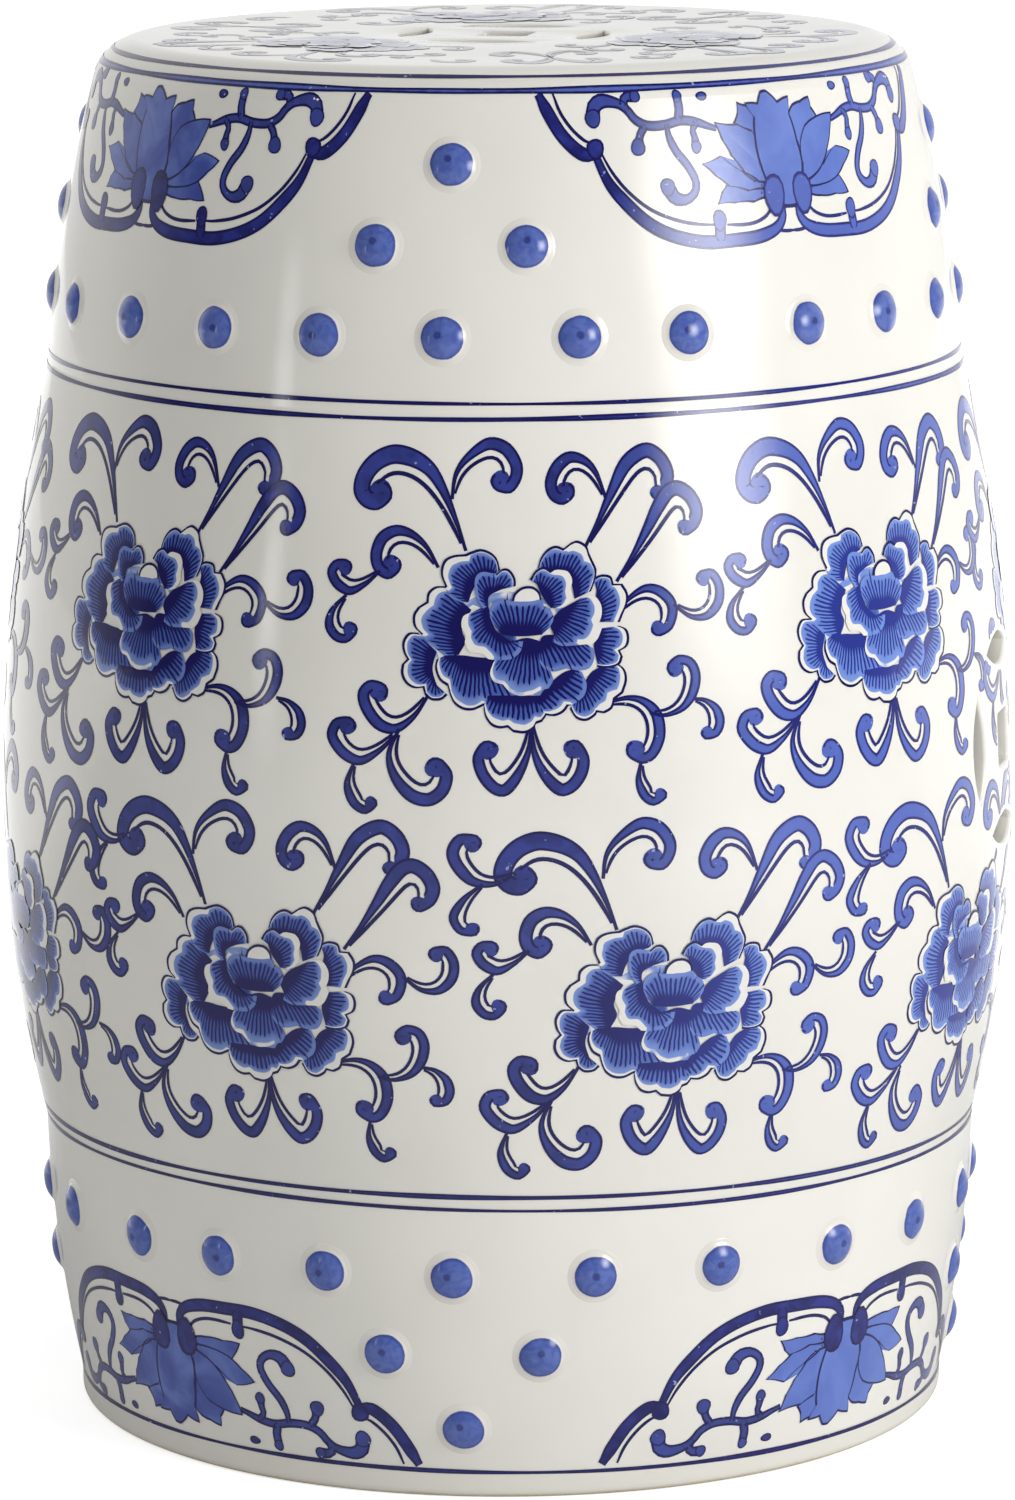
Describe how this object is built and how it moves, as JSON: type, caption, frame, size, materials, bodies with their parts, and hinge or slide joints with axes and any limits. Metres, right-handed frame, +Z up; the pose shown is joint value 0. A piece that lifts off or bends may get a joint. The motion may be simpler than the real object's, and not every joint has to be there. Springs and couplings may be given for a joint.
{
  "type": "ceramic garden stool",
  "caption": "Hollow barrel-shaped ceramic garden stool, open underneath, with a flat seat, pierced coin panels and rings of round studs.",
  "frame": {"origin": "centre of the foot ring's underside, on the floor", "axes": "+Z up along the barrel's axis, +X and -X through the centres of the two pierced side panels, -Y the front"},
  "size_m": [0.3378, 0.3377, 0.457],
  "materials": {
    "glazed_clay": "glossy off-white glaze",
    "cobalt_glaze": "glossy cobalt blue glaze",
    "foot_clay": "glazed outside, bare matt clay underneath"
  },
  "bodies": {
    "root": {"seat_plate": "glazed_clay", "seat_coin_panel": "glazed_clay", "upper_collar": "glazed_clay", "belly_wall": "glazed_clay", "lower_collar": "glazed_clay", "side_coin_panel_right": "glazed_clay", "side_coin_panel_left": "glazed_clay", "upper_ring_studs": "cobalt_glaze", "upper_triangle_studs": "cobalt_glaze", "lower_ring_studs": "cobalt_glaze", "lower_triangle_studs": "cobalt_glaze", "foot_ring": "foot_clay"}
  },
  "joints": []
}
